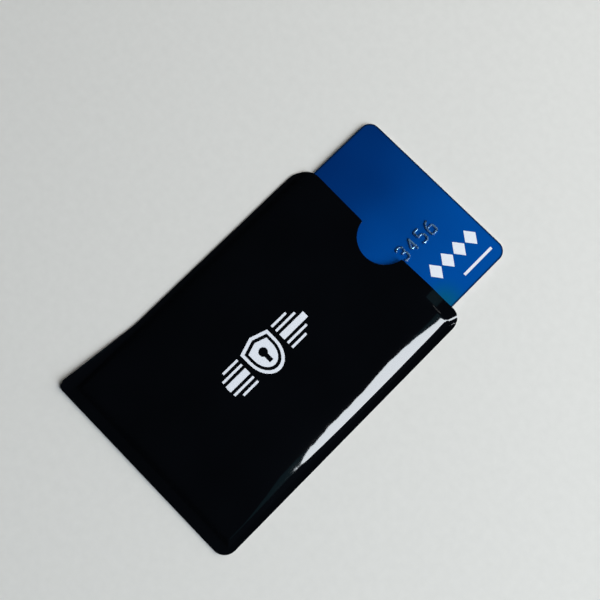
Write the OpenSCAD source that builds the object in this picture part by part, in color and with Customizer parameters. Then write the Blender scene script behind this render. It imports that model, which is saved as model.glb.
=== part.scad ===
// A card sleeve of pressed foil laminate, and the bank card that slides in it.
// +Y runs along the sleeve to its mouth, +X to its right side seen from the front, +Z up.
// The origin is the middle of the sleeve's flat underside.

/* [Sleeve] */
// Length of the sleeve from closed end to mouth
sleeve_l = 91.4; // [90.4:0.2:96]
// Width of the pressed seam along each side
side_seam_w = 1.5; // [1.4:0.1:4]
// Width of the pressed seam across the closed end
closed_seam_w = 3.2; // [2:0.1:3.4]
// Radius of the sleeve's corners
sleeve_corner_r = 4; // [2:0.5:5]
// Radius of the mouth's left corner
mouth_corner_r = 6; // [3:0.5:6]
// How far the closed end's left corner spreads past the side line
corner_spread = 2.2; // [0.2:0.1:3]
// How high the lip of that corner curls off the surface
corner_lift = 1; // [0.1:0.1:1.4]
// How far up the left side the curl and the spread reach
curl_l = 54; // [30:1:60]
// Room between the front panel's step and the curl
curl_gap = 0.5; // [0.2:0.1:1]
// How far the front panel's mouth edge draws back at its middle
mouth_bow = 0.5; // [0.1:0.1:1]

/* [Thumb notch] */
// Width of the notch along the mouth
notch_w = 15.4; // [12:0.2:24]
// Depth of the notch from the mouth line
notch_depth = 7.2; // [5:0.2:7.4]
// How far the notch is off the middle
notch_offset = 0.3; // [0:0.1:2]

/* [Laminate] */
// Thickness of the outer gloss film
film_t = 0.04; // [0.03:0.01:0.06]
// Thickness of the black printed paper
paper_t = 0.14; // [0.1:0.01:0.2]
// Thickness of the shielding foil
foil_t = 0.03; // [0.02:0.01:0.05]
// Thickness of the inner heat seal liner
liner_t = 0.03; // [0.02:0.01:0.05]
// Thickness of the seal between the two liners
seal_t = 0.03; // [0.02:0.01:0.05]
// Thickness of printed ink
ink_t = 0.02; // [0.02:0.01:0.04]

/* [Pocket] */
// Room under the card
under_gap = 0.1; // [0.05:0.01:0.2]
// Room over the card's flat face at the pocket's shoulders
over_gap = 0.12; // [0.05:0.01:0.3]
// Room beside the card
side_gap = 1.16; // [0.2:0.01:1.2]
// How much further each side opens at the mouth
mouth_flare = 0.25; // [0:0.05:0.4]
// Sideways run of the front panel's step
step_run = 1.35; // [0.9:0.05:1.6]
// Sideways run of that step at the mouth
mouth_step_run = 1.35; // [1:0.05:1.6]
// Height of the front panel's crown over its shoulders
crown_h = 1.6; // [1.5:0.05:2]
// Share of the crown that is left at the closed end
closed_crown = 0.3; // [0.3:0.05:0.8]
// How far in from the closed end's shoulder the crown rolls over
end_roll = 5; // [3:0.5:8]
// Share of the crown that is lost at the mouth
mouth_drop = 0.2; // [0:0.05:0.3]

/* [Sleeve print] */
// Length of the printed emblem along the sleeve
emblem_l = 31; // [26:0.5:36]
// Width of the printed emblem across the sleeve
emblem_w = 12; // [10:0.5:14]
// Width of its bold bars
bold_bar = 2; // [1.4:0.1:2.6]
// Width of its thin bars
thin_bar = 0.7; // [0.4:0.1:1]
// Gap between the shield and the bars
emblem_gap = 1.4; // [1:0.1:2]
// Width of the line round the shield's keyhole plate
shield_line = 1; // [0.6:0.1:1.2]

/* [Card] */
// Width of the card
card_w = 53.98; // [53.9:0.02:54.04]
// Length of the card
card_l = 85.6; // [85.4:0.1:85.8]
// Radius of the card's corners
card_corner_r = 3.18; // [2.88:0.1:3.48]
// How far the card stands out of the mouth
card_out = 22.8; // [5:0.2:30]
// Thickness of each clear overlay
overlay_t = 0.05; // [0.04:0.01:0.08]
// Thickness of each printed sheet
print_t = 0.15; // [0.1:0.01:0.2]
// Thickness of each core sheet
core_t = 0.18; // [0.15:0.01:0.2]

/* [Card numbers] */
// Height of the raised numbers over the card's face
relief = 0.46; // [0.4:0.02:0.48]
// Height of the wide foot of a raised stroke
foot_relief = 0.28; // [0.2:0.02:0.34]
// Height of a large number
number_h = 4.1; // [3.6:0.1:4.4]
// Width of a large number
number_w = 2.1; // [1.8:0.1:2.4]
// Distance from one large number to the next
number_pitch = 3.63; // [3.5:0.01:3.8]
// Distance of the first large number's middle from the card's inner end
number_start = 9.55; // [9:0.05:11]
// Height of the number line over the card's lower edge
number_rise = 20; // [19.5:0.1:22]
// Height of the date line over the card's lower edge
date_rise = 14.8; // [14.4:0.1:15.6]
// Start of the date line from the card's inner end
date_start = 42; // [30:1:50]
// Size of the date's numbers as a share of the large ones
date_share = 0.66; // [0.5:0.02:0.7]
// Width of a raised stroke at its top
stroke_w = 0.55; // [0.4:0.05:0.6]
// Width of a raised stroke at its foot
stroke_foot_w = 0.85; // [0.65:0.05:0.95]
// Thickness of the silver tipping on the strokes
tipping_t = 0.02; // [0.01:0.01:0.04]

/* [Card print] */
// Length of the row of lozenges
lozenge_row_l = 18; // [14:0.5:19]
// Height of the lozenges
lozenge_h = 5.4; // [4:0.2:6]
// Gap between two lozenges
lozenge_gap = 0.5; // [0.3:0.1:1]
// Height of the row's middle over the card's lower edge
lozenge_rise = 10; // [8:0.5:11]
// Distance of the row's end from the card's outer end
lozenge_margin = 2.6; // [2:0.2:4]
// Height of the thin rule over the card's lower edge
rule_rise = 3.4; // [2.8:0.1:4.4]
// Length of the thin rule
rule_l = 11; // [8:0.5:14]
// Width of the thin rule
rule_w = 0.8; // [0.4:0.1:1.2]

/* [Chip module] */
// Size of the contact plate along the card
plate_l = 12.6; // [12:0.1:13]
// Size of the contact plate across the card
plate_w = 11.4; // [11:0.1:12]
// Radius of the contact plate's corners
plate_corner_r = 1.2; // [0.6:0.1:2]
// Thickness of the gold contacts
contact_t = 0.04; // [0.03:0.01:0.05]
// Width of the grooves between the contacts
contact_groove = 0.25; // [0.15:0.05:0.4]
// Width of the contacts' middle field
middle_field_w = 4.4; // [3.6:0.2:5]
// Middle of the module from the card's inner end
module_from_end = 15.06; // [14.6:0.1:15.6]
// Middle of the module from the card's upper edge
module_from_top = 23.9; // [23.4:0.1:24.4]
// Room round the module in its pocket
module_gap = 0.1; // [0.05:0.05:0.2]
// Thickness of the glue frame under the module
glue_t = 0.02; // [0.01:0.01:0.04]
// Side of the resin cap under the tape
cap_side = 7; // [6:0.2:8]
// Depth of the resin cap
cap_h = 0.3; // [0.26:0.01:0.32]
// Side of the silicon die
die_side = 2.6; // [1.6:0.2:4]
// Thickness of the silicon die
die_t = 0.18; // [0.12:0.01:0.2]

/* [Antenna] */
// Turns of the antenna
antenna_turns = 4; // [3:1:5]
// Width of the antenna's track
track_w = 0.5; // [0.3:0.05:0.6]
// Gap between two turns of the track
track_gap = 0.5; // [0.3:0.05:0.6]
// Thickness of the track
track_t = 0.04; // [0.03:0.01:0.05]
// Distance of the outer turn from the card's edges
antenna_margin = 2.4; // [2:0.1:3]
// Side of a square terminal under the module's rim
terminal_l = 1.5; // [1:0.1:1.6]
// Gap between a terminal and the resin cap's pocket
terminal_gap = 0.3; // [0.2:0.1:0.5]

/* [Rear of the card] */
// Width of the magnetic stripe
stripe_w = 12.7; // [10:0.1:13]
// Distance of the stripe from the card's upper edge
stripe_from_top = 4.5; // [4:0.1:5.5]
// Length of the signature panel
panel_l = 66; // [50:1:74]
// Width of the signature panel
panel_w = 9; // [7:0.5:12]
// Gap between the stripe and the signature panel
panel_gap = 3; // [2:0.5:5]
// Distance of the signature panel from the card's inner end
panel_from_end = 5; // [4:0.5:8]
// Depth of the stripe and the signature panel in the overlay
stripe_t = 0.03; // [0.02:0.01:0.03]

/* [Hidden] */
$fn = 64;

half_w = card_w / 2 + side_gap + step_run + side_seam_w;
half_l = sleeve_l / 2;
wall_t = film_t + paper_t + foil_t + liner_t;
seam_top = wall_t + seal_t;
card_t = 2 * (overlay_t + print_t + core_t);
card_z = wall_t + under_gap;
card_y = half_l + card_out - card_l / 2;
card_inner_end = card_y - card_l / 2;
shoulder_z = card_z + card_t + over_gap;
step_h = shoulder_z - seam_top;

// Places along the sleeve: the closed seam's edge, the pocket's shoulder there and the curl's start
step_foot_y = -half_l + closed_seam_w;
shoulder_y = step_foot_y + step_run;
lip_start_y = -half_l + curl_l;
lip_start_x = half_w - side_seam_w + curl_gap;
grid_margin = 1;
grid_edge_x = half_w + corner_spread + grid_margin;
lip_power = 1.3;
spread_share = 0.47;

// Stations of the front panel's grid: shares of the half pocket, of the seams and of the pocket's length
crown_stations = [0, 0.45, 0.7, 0.85, 0.94];
seam_stations = [0.35, 0.65, 1];
length_stations = [0.015, 0.06, 0.18, 0.32, 0.48, 0.64, 0.82, 1];
crown_power = 4;
shoulder_cut = 0.99;

function smooth(t) = let (c = max(0, min(1, t))) c * c * (3 - 2 * c);
function mix(a, b, t) = a + (b - a) * t;

// A pillow's profile from its middle at 0 to its shoulder at 1, and how steeply it falls there
function swell(u) = sqrt(1 - pow(shoulder_cut * u, crown_power));
function pillow(u) = (swell(u) - swell(1)) / (1 - swell(1));
function pillow_fall(u) =
    crown_power * pow(shoulder_cut, crown_power) * pow(u, crown_power - 1) / (2 * swell(u) * (1 - swell(1)));

// How much of the mouth's wider opening there is at a place along the sleeve
function opening(y) = max(0, min(1, (y - card_inner_end) / (half_l - card_inner_end)));
function shoulder_x(y) = card_w / 2 + side_gap + mouth_flare * opening(y);
function run(y) = mix(step_run, mouth_step_run, opening(y));
function step_angle(y) = atan2(step_h, run(y));

// The crown's height along the middle of the sleeve
crown_peak_y = (card_inner_end + half_l) / 2;
function crown(y) =
    let (edge = pillow(max(0, 1 - (y - shoulder_y) / end_roll)))
    let (rise = smooth((y - shoulder_y) / (card_inner_end - shoulder_y)))
    let (drop = smooth((y - crown_peak_y) / (half_l - crown_peak_y)))
    crown_h * mix(closed_crown * edge, 1, rise) * (1 - mouth_drop * drop);
function crown_at(u, y) = crown(y) * pillow(u);
function crown_tilt(u, y) = atan(crown(y) * pillow_fall(u) / shoulder_x(y));

// How far the curled lip stands up at a place, on the left side only
function lip(x, y) =
    let (out = max(0, -x - lip_start_x) / (half_w + corner_spread - lip_start_x))
    let (along = smooth((lip_start_y - y) / (lip_start_y + half_l)))
    corner_lift * pow(out, lip_power) * along;

// A corner's offset between two faces with tilts a and b, at distance d
function corner_offset(a, b, d) = d * [sin(a) + sin(b), cos(a) + cos(b)] / (1 + cos(a - b));

// One half of the front panel's section, from the middle outwards, at distance d from its inner face
function half_section(y, d) =
    let (sx = shoulder_x(y), angle = step_angle(y))
    let (top = corner_offset(crown_tilt(1, y), angle, d), foot = corner_offset(0, angle, d))
    let (foot_x = sx + run(y) + foot[0])
    concat(
        [for (u = crown_stations)
            let (tilt = crown_tilt(u, y))
            [u * sx + d * sin(tilt), shoulder_z + crown_at(u, y) + d * cos(tilt)]],
        [[sx + top[0], shoulder_z + top[1]]],
        [[foot_x, seam_top + d]],
        [for (s = seam_stations) [mix(foot_x, grid_edge_x, s), seam_top + d]]
    );
function full_section(y, d) =
    let (half = half_section(y, d), n = len(half))
    concat(
        [for (i = [n - 1:-1:1]) [-half[i][0], half[i][1]]],
        half
    );

// The rows of the front panel's grid: three across the closed seam, then the pocket's stations
function pocket_y(s) = mix(shoulder_y, half_l + grid_margin, s);
function seam_row(y, section, d) = [for (p = section) [p[0], y, seam_top + d + lip(p[0], y)]];
function pocket_row(y, section) = [for (p = section) [p[0], y, p[1] + lip(p[0], y)]];
function front_surface(d) =
    let (angle = step_angle(shoulder_y))
    let (foot_y = step_foot_y - corner_offset(0, angle, d)[0])
    let (top_y = shoulder_y - corner_offset(angle, angle, d)[0])
    let (first = full_section(shoulder_y, d))
    concat(
        seam_row(-half_l - grid_margin, first, d),
        seam_row(mix(-half_l, foot_y, 0.4), first, d),
        seam_row(foot_y, first, d),
        pocket_row(top_y, first),
        [for (s = length_stations) each pocket_row(pocket_y(s), full_section(pocket_y(s), d))]
    );
front_columns = 2 * (len(crown_stations) + len(seam_stations) + 2) - 1;
front_rows = 4 + len(length_stations);

// The left seam and the rear panel follow the same lip on the same stations
seam_rows = concat(
    [-half_l - grid_margin, mix(-half_l, step_foot_y, 0.4), step_foot_y, shoulder_y],
    [for (s = length_stations) pocket_y(s)]
);
function seam_foot_x(y) = shoulder_x(max(y, shoulder_y)) + run(max(y, shoulder_y));
function left_seam_x(y) =
    [for (i = [len(seam_stations) - 1:-1:0]) -mix(seam_foot_x(y), grid_edge_x, seam_stations[i])];
function lip_row(y, xs, z) = [for (x = xs) [x, y, z + lip(x, y)]];
function seam_surface(z) =
    [for (y = seam_rows) each lip_row(y, concat(left_seam_x(y), [-seam_foot_x(y)]), z)];
function rear_surface(z) =
    [for (y = seam_rows) each lip_row(y, concat(left_seam_x(y), [-seam_foot_x(y), grid_edge_x]), z)];

// The faces of a closed sheet whose lower and upper points lie on one grid, mirrored about its middle
function grid_faces(columns, rows) =
    let (n = columns * rows)
    concat(
        [for (j = [0:rows - 2], i = [0:columns - 2])
            let (a = j * columns + i, c = a + columns)
            each 2 * i < columns - 1
                ? [[a, a + 1, c + 1], [a, c + 1, c]]
                : [[a, a + 1, c], [a + 1, c + 1, c]]],
        [for (j = [0:rows - 2], i = [0:columns - 2])
            let (a = n + j * columns + i, c = a + columns)
            each 2 * i < columns - 1
                ? [[a, c + 1, a + 1], [a, c, c + 1]]
                : [[a, c, a + 1], [a + 1, c, c + 1]]],
        [for (i = [0:columns - 2]) each [[i, n + i, i + 1], [i + 1, n + i, n + i + 1]]],
        [for (i = [0:columns - 2])
            let (a = (rows - 1) * columns + i)
            each [[a, a + 1, n + a], [a + 1, n + a + 1, n + a]]],
        [for (j = [0:rows - 2])
            let (a = j * columns)
            each [[a, a + columns, n + a], [n + a, a + columns, n + a + columns]]],
        [for (j = [0:rows - 2])
            let (a = j * columns + columns - 1)
            each [[a, n + a, a + columns], [n + a, n + a + columns, a + columns]]]
    );

// Points of an arc, and the outlines of the two panels
function arc(centre, r, from, to, steps = 8) =
    [for (i = [0:steps])
        let (a = mix(from, to, i / steps))
        centre + r * [cos(a), sin(a)]];
spread_l = spread_share * curl_l;
spread_angle = atan(corner_spread / spread_l);
spread_corner = [
    -half_w - corner_spread + sleeve_corner_r * (1 + sin(spread_angle)) / cos(spread_angle),
    -half_l + sleeve_corner_r
];
corner_x = half_w - sleeve_corner_r;
mouth_corner_x = half_w - mouth_corner_r;
bow_steps = 8;
function mouth_edge(bow) =
    [for (i = [1:bow_steps - 1])
        let (t = 1 - 2 * i / bow_steps)
        [t * (t > 0 ? corner_x : mouth_corner_x), half_l - bow * (1 - t * t)]];
function outline(bow) = concat(
    arc([corner_x, -half_l + sleeve_corner_r], sleeve_corner_r, -90, 0),
    arc([corner_x, half_l - sleeve_corner_r], sleeve_corner_r, 0, 90),
    mouth_edge(bow),
    arc([-mouth_corner_x, half_l - mouth_corner_r], mouth_corner_r, 90, 180),
    [[-half_w, -half_l + spread_l]],
    arc(spread_corner, sleeve_corner_r, 180 - spread_angle, 270)
);
notch_r = (pow(notch_w / 2, 2) + pow(notch_depth, 2)) / (2 * notch_depth);
tall = 20;

module rear_outline() {
    polygon(outline(0));
}

module front_outline() {
    difference() {
        polygon(outline(mouth_bow));
        translate([notch_offset, half_l - notch_depth + notch_r]) circle(notch_r);
    }
}

module front_layer(from, thickness) {
    intersection() {
        polyhedron(
            concat(front_surface(from), front_surface(from + thickness)),
            grid_faces(front_columns, front_rows)
        );
        translate([0, 0, -tall / 2]) linear_extrude(tall) front_outline();
    }
}

module rear_layer(from, thickness) {
    intersection() {
        polyhedron(
            concat(rear_surface(from), rear_surface(from + thickness)),
            grid_faces(len(seam_stations) + 2, len(seam_rows))
        );
        translate([0, 0, -tall / 2]) linear_extrude(tall) rear_outline();
    }
}

// The sleeve's rear panel, from its outer film inwards

module rear_gloss_film() {
    color("#0a0b0e") rear_layer(0, film_t);
}

module rear_printed_paper() {
    color("#15161a") rear_layer(film_t, paper_t);
}

module rear_shield_foil() {
    color("#b8bcc0") rear_layer(film_t + paper_t, foil_t);
}

module rear_liner() {
    color("#c9c8c2") rear_layer(film_t + paper_t + foil_t, liner_t);
}

// The three seals between the liners

module left_side_seal() {
    color("#8d8a80") intersection() {
        polyhedron(
            concat(seam_surface(wall_t), seam_surface(seam_top)),
            grid_faces(len(seam_stations) + 1, len(seam_rows))
        );
        translate([0, 0, -tall / 2]) linear_extrude(tall) front_outline();
    }
}

module right_side_seal() {
    strip = concat(
        [for (y = seam_rows) [seam_foot_x(y), y]],
        [[grid_edge_x, half_l + grid_margin], [grid_edge_x, -half_l - grid_margin]]
    );
    color("#8d8a80") translate([0, 0, wall_t]) linear_extrude(seal_t) intersection() {
        front_outline();
        polygon(strip);
    }
}

module closed_end_seal() {
    foot_x = seam_foot_x(shoulder_y);
    color("#8d8a80") translate([0, 0, wall_t]) linear_extrude(seal_t) intersection() {
        front_outline();
        translate([-foot_x, -half_l - grid_margin])
            square([2 * foot_x, closed_seam_w + grid_margin]);
    }
}

// The sleeve's front panel, from its liner outwards

module front_liner() {
    color("#c9c8c2") front_layer(0, liner_t);
}

module front_shield_foil() {
    color("#b8bcc0") front_layer(liner_t, foil_t);
}

module front_printed_paper() {
    color("#15161a") front_layer(liner_t + foil_t, paper_t);
}

module front_gloss_film() {
    color("#0a0b0e") front_layer(liner_t + foil_t + paper_t, film_t);
}

// The emblem: a shield with a keyhole between two sets of bars, in ink on the front film

module bar(length, width) {
    translate([-length / 2, -width / 2]) square([length, width]);
}

module shield_shape(w, h) {
    shoulder = 0.36 * h;
    polygon(concat(
        [[0, h / 2], [w / 2, shoulder]],
        [for (i = [0:6])
            let (a = 90 * i / 6)
            [w / 2 * cos(a), shoulder * 0.2 - (h / 2 + shoulder * 0.2) * sin(a)]],
        [for (i = [5:-1:0])
            let (a = 90 * i / 6)
            [-w / 2 * cos(a), shoulder * 0.2 - (h / 2 + shoulder * 0.2) * sin(a)]],
        [[-w / 2, shoulder]]
    ));
}

module emblem_shape() {
    shield_w = 0.84 * emblem_w;
    keyhole_r = 0.11 * emblem_w;
    side_l = (emblem_l - shield_w) / 2 - emblem_gap;
    side_x = shield_w / 2 + emblem_gap + side_l / 2;
    inner = 1 - 2 * shield_line / emblem_w;
    core = 1 - 4 * shield_line / emblem_w;
    difference() {
        shield_shape(shield_w, emblem_w);
        shield_shape(inner * shield_w, inner * emblem_w);
    }
    difference() {
        shield_shape(core * shield_w, core * emblem_w);
        translate([0, keyhole_r / 2]) circle(keyhole_r);
        translate([-keyhole_r / 2, -2 * keyhole_r]) square([keyhole_r, 2.4 * keyhole_r]);
    }
    for (side = [-1, 1]) translate([side * side_x, 0]) {
        bar(side_l, bold_bar);
        for (up = [-1, 1]) {
            translate([-side * side_l * 0.1, up * 0.19 * emblem_w]) bar(side_l * 0.8, thin_bar);
            translate([-side * side_l * 0.2, up * 0.33 * emblem_w]) bar(side_l * 0.6, thin_bar);
        }
    }
}

module printed_emblem() {
    color("#e9edf0") intersection() {
        polyhedron(
            concat(front_surface(wall_t), front_surface(wall_t + ink_t)),
            grid_faces(front_columns, front_rows)
        );
        translate([0, 0, -tall / 2]) linear_extrude(tall) rotate(90) emblem_shape();
    }
}

// The card lies in its own frame: the middle of its rear face, u along it and v up to its upper edge

module on_card(z) {
    translate([0, card_y, card_z + z]) rotate(90) children();
}

module rounded(l, w, r) {
    square([l - 2 * r, w], center = true);
    square([l, w - 2 * r], center = true);
    for (u = [-1, 1], v = [-1, 1])
        translate([u * (l / 2 - r), v * (w / 2 - r)]) circle(r);
}

module card_shape() {
    rounded(card_l, card_w, card_corner_r);
}

module_u = -card_l / 2 + module_from_end;
module_v = card_w / 2 - module_from_top;
module_pocket_l = plate_l + 2 * module_gap;
module_pocket_w = plate_w + 2 * module_gap;
cap_pocket = cap_side + 2 * module_gap;
core_top = overlay_t + print_t + 2 * core_t;
tape_t = card_t - core_top - glue_t - contact_t;
tape_z = core_top + glue_t;
cap_z = tape_z - cap_h;
cap_pocket_z = cap_z - glue_t;
stripe_v = card_w / 2 - stripe_from_top - stripe_w / 2;
panel_u = -card_l / 2 + panel_from_end + panel_l / 2;
panel_v = stripe_v - stripe_w / 2 - panel_gap - panel_w / 2;

module at_module() {
    translate([module_u, module_v]) children();
}

module module_pocket() {
    at_module() rounded(module_pocket_l, module_pocket_w, plate_corner_r + module_gap);
}

module stripe_shape() {
    translate([-card_l / 2, stripe_v - stripe_w / 2]) square([card_l, stripe_w]);
}

module panel_shape() {
    translate([panel_u, panel_v]) square([panel_l, panel_w], center = true);
}

module card_rear_overlay() {
    color("#1b3f74") on_card(0) difference() {
        linear_extrude(overlay_t) card_shape();
        translate([0, 0, -1]) linear_extrude(1 + stripe_t) stripe_shape();
        translate([0, 0, -1]) linear_extrude(1 + stripe_t) panel_shape();
    }
}

module magnetic_stripe() {
    color("#17130f") on_card(0) linear_extrude(stripe_t) stripe_shape();
}

module signature_panel() {
    color("#dcdcd6") on_card(0) linear_extrude(stripe_t) panel_shape();
}

module card_rear_print() {
    color("#20508f") on_card(overlay_t) linear_extrude(print_t) card_shape();
}

// The antenna: one track in square turns on the rear core, and a bridge over the turns

track_pitch = track_w + track_gap;
function loop_corner(k, turn) =
    let (l = card_l / 2 - antenna_margin - turn * track_pitch)
    let (w = card_w / 2 - antenna_margin - turn * track_pitch)
    [[-l, -w], [l, -w], [l, w], [-l, w]][k];
terminal_rise = cap_pocket / 2 + terminal_gap + terminal_l / 2;
lower_terminal = [module_u, module_v - terminal_rise];
upper_terminal = [module_u, module_v + terminal_rise];

// The route runs from the outer terminal round each turn and in to the inner terminal
outer_left = -card_l / 2 + antenna_margin;
inner_left = outer_left + antenna_turns * track_pitch;
inner_low = -card_w / 2 + antenna_margin + antenna_turns * track_pitch;
antenna_route = concat(
    [[outer_left, upper_terminal[1]]],
    [for (turn = [0:antenna_turns - 1])
        each [
            [outer_left + turn * track_pitch, loop_corner(0, turn)[1]],
            loop_corner(1, turn),
            loop_corner(2, turn),
            [outer_left + (turn + 1) * track_pitch, loop_corner(3, turn)[1]]
        ]],
    [[inner_left, inner_low]],
    [[lower_terminal[0], inner_low]],
    [lower_terminal]
);

// The two sides of a line with a width, mitred at its bends
function unit(v) = v / norm(v);
function left_of(v) = [-v[1], v[0]];
function bend(p, i) =
    let (n = len(p))
    let (a = i > 0 ? left_of(unit(p[i] - p[i - 1])) : left_of(unit(p[1] - p[0])))
    let (b = i < n - 1 ? left_of(unit(p[i + 1] - p[i])) : left_of(unit(p[n - 1] - p[n - 2])))
    (a + b) / (1 + a * b);
function side_line(p, d) = [for (i = [0:len(p) - 1]) p[i] + d * bend(p, i)];
function reversed(p) = [for (i = [len(p) - 1:-1:0]) p[i]];

module line(p, w) {
    polygon(concat(side_line(p, w / 2), reversed(side_line(p, -w / 2))));
}

module bridge_shape() {
    line([[outer_left - track_w / 2, upper_terminal[1]], upper_terminal], track_w);
    translate(upper_terminal) square(terminal_l, center = true);
}

// The bridge stands on the outer turn's end and passes over the other turns
module bridge_solid() {
    translate([outer_left, upper_terminal[1]]) linear_extrude(2 * track_t) square(track_w, center = true);
    translate([0, 0, track_t]) linear_extrude(track_t) bridge_shape();
}

module antenna_solid() {
    translate([0, 0, -track_t]) {
        linear_extrude(track_t) line(antenna_route, track_w);
        linear_extrude(track_t) translate(lower_terminal) square(terminal_l, center = true);
    }
}

module card_rear_core() {
    color("#e4e6e6") on_card(overlay_t + print_t) difference() {
        linear_extrude(core_t) card_shape();
        translate([0, 0, core_t]) antenna_solid();
        translate([0, 0, cap_pocket_z - overlay_t - print_t])
            linear_extrude(core_t) at_module() square(cap_pocket, center = true);
    }
}

module antenna_track() {
    color("#b8693a") on_card(overlay_t + print_t + core_t) antenna_solid();
}

module antenna_bridge() {
    color("#c07a48") on_card(overlay_t + print_t + core_t) bridge_solid();
}

module card_front_core() {
    color("#eceeee") on_card(overlay_t + print_t + core_t) difference() {
        linear_extrude(core_t) card_shape();
        bridge_solid();
        translate([0, 0, -1]) linear_extrude(core_t + 2) at_module() square(cap_pocket, center = true);
    }
}

module card_front_print() {
    color("#0b4a99") on_card(core_top) linear_extrude(print_t) difference() {
        card_shape();
        module_pocket();
    }
}

module card_front_overlay() {
    color("#0a4fa5") on_card(card_t - overlay_t) linear_extrude(overlay_t) difference() {
        card_shape();
        module_pocket();
    }
}

// Ink on the card's face: a row of lozenges and a thin rule

module card_printed_marks() {
    count = 4;
    lozenge_l = (lozenge_row_l - (count - 1) * lozenge_gap) / count;
    row_u = card_l / 2 - lozenge_margin - lozenge_row_l + lozenge_l / 2;
    color("#eef2f6") on_card(card_t) linear_extrude(ink_t) {
        for (i = [0:count - 1])
            translate([row_u + i * (lozenge_l + lozenge_gap), -card_w / 2 + lozenge_rise])
                polygon([
                    [-lozenge_l / 2, 0],
                    [0, -lozenge_h / 2],
                    [lozenge_l / 2, 0],
                    [0, lozenge_h / 2]
                ]);
        translate([card_l / 2 - lozenge_margin - rule_l, -card_w / 2 + rule_rise])
            square([rule_l, rule_w]);
    }
}

// Strokes of the raised numbers on a unit cell: open lines and closed loops
open_strokes = [
    [],
    [[[0.2, 0.78], [0.55, 1], [0.55, 0]]],
    [[[0, 0.8], [0.25, 1], [0.75, 1], [1, 0.84], [1, 0.62], [0.02, 0.2], [0, 0], [1, 0]]],
    [[[0, 0.86], [0.25, 1], [0.75, 1], [1, 0.86], [1, 0.62], [0.7, 0.52], [0.3, 0.52]],
        [[0.4, 0.52], [0.7, 0.52], [1, 0.4], [1, 0.14], [0.75, 0], [0.25, 0], [0, 0.14]]],
    [[[0.75, 0], [0.75, 1]], [[0.75, 0.96], [0, 0.3], [1, 0.3]]],
    [[[0.95, 1], [0.08, 1], [0.08, 0.56], [0.7, 0.56], [1, 0.42], [1, 0.14], [0.75, 0], [0.2, 0], [0, 0.1]]],
    [[[0.85, 1], [0.3, 0.86], [0, 0.58], [0, 0.41]]],
    [[[0, 1], [1, 1], [0.4, 0]]],
    [],
    [[[0.15, 0], [0.7, 0.14], [1, 0.42], [1, 0.59]]]
];
low_loop = [[0.25, 0], [0.75, 0], [1, 0.14], [1, 0.41], [0.75, 0.55], [0.25, 0.55], [0, 0.41], [0, 0.14]];
high_loop = [for (p = low_loop) [1 - p[0], 1 - p[1]]];
tall_loop = [[0.25, 0], [0.75, 0], [1, 0.14], [1, 0.86], [0.75, 1], [0.25, 1], [0, 0.86], [0, 0.14]];
closed_strokes = [[tall_loop], [], [], [], [], [], [low_loop], [], [low_loop, high_loop], [high_loop]];

function sized(p, w, h) = [for (q = p) [(q[0] - 0.5) * w, (q[1] - 0.5) * h]];
function loop_bend(p, i) =
    let (n = len(p))
    let (a = left_of(unit(p[i] - p[(i + n - 1) % n])), b = left_of(unit(p[(i + 1) % n] - p[i])))
    (a + b) / (1 + a * b);
function loop_side(p, d) = [for (i = [0:len(p) - 1]) p[i] + d * loop_bend(p, i)];

module number_shape(value, w, h, line_w) {
    for (p = open_strokes[value]) line(sized(p, w, h), line_w);
    for (p = closed_strokes[value]) difference() {
        polygon(loop_side(sized(p, w, h), -line_w / 2));
        polygon(loop_side(sized(p, w, h), line_w / 2));
    }
}

number_groups = [[1, 2, 3, 4], [5, 6, 7, 8], [9, 0, 1, 2], [3, 4, 5, 6]];
date_groups = [[1, 2], [3, 4]];
number_u = -card_l / 2 + number_start;
date_u = -card_l / 2 + date_start;

module at_each_number(groups, start, rise, pitch) {
    for (g = [0:len(groups) - 1], i = [0:len(groups[g]) - 1]) {
        $value = groups[g][i];
        translate([start + (g * (len(groups[g]) + 1) + i) * pitch, -card_w / 2 + rise]) children();
    }
}

module raised(height, w_share, line_w) {
    at_each_number(number_groups, number_u, number_rise, number_pitch)
        linear_extrude(height) number_shape($value, number_w, number_h, line_w);
    at_each_number(date_groups, date_u, date_rise, number_pitch * date_share)
        linear_extrude(height)
            number_shape($value, number_w * w_share, number_h * w_share, line_w * w_share);
}

module raised_numbers() {
    color("#1558a8") on_card(card_t) {
        raised(foot_relief, date_share, stroke_foot_w);
        raised(relief - tipping_t, date_share, stroke_w);
    }
}

module number_tipping() {
    color("#c9d2da") on_card(card_t + relief - tipping_t) raised(tipping_t, date_share, stroke_w);
}

// The chip module, from the glue frame in its pocket up to the contacts and down to the resin

module chip_glue_frame() {
    color("#d8c98a") on_card(core_top) linear_extrude(glue_t) at_module() difference() {
        rounded(plate_l, plate_w, plate_corner_r);
        square(cap_pocket, center = true);
    }
}

module chip_tape() {
    color("#4d6a3a") on_card(tape_z) linear_extrude(tape_t) at_module()
        rounded(plate_l, plate_w, plate_corner_r);
}

module chip_contacts() {
    row_h = plate_w / 4;
    color("#d4af5a") on_card(card_t - contact_t) linear_extrude(contact_t) at_module() difference() {
        rounded(plate_l, plate_w, plate_corner_r);
        for (side = [-1, 1]) {
            translate([side * middle_field_w / 2, side > 0 ? -row_h / 2 : 0])
                square([contact_groove, side > 0 ? 3 * row_h : plate_w + 1], center = true);
            for (k = [-1, 0, 1])
                translate([side * (middle_field_w / 2 + plate_l / 4), k * row_h])
                    square([plate_l / 2, contact_groove], center = true);
        }
    }
}

module chip_die() {
    color("#3d4148") on_card(tape_z - die_t) linear_extrude(die_t) at_module()
        square(die_side, center = true);
}

module chip_resin_cap() {
    color("#1c1a1c") on_card(0) difference() {
        translate([0, 0, cap_z]) linear_extrude(cap_h) at_module()
            rounded(cap_side, cap_side, cap_side / 6);
        translate([0, 0, tape_z - die_t]) linear_extrude(die_t + 1) at_module()
            square(die_side, center = true);
    }
}

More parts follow.
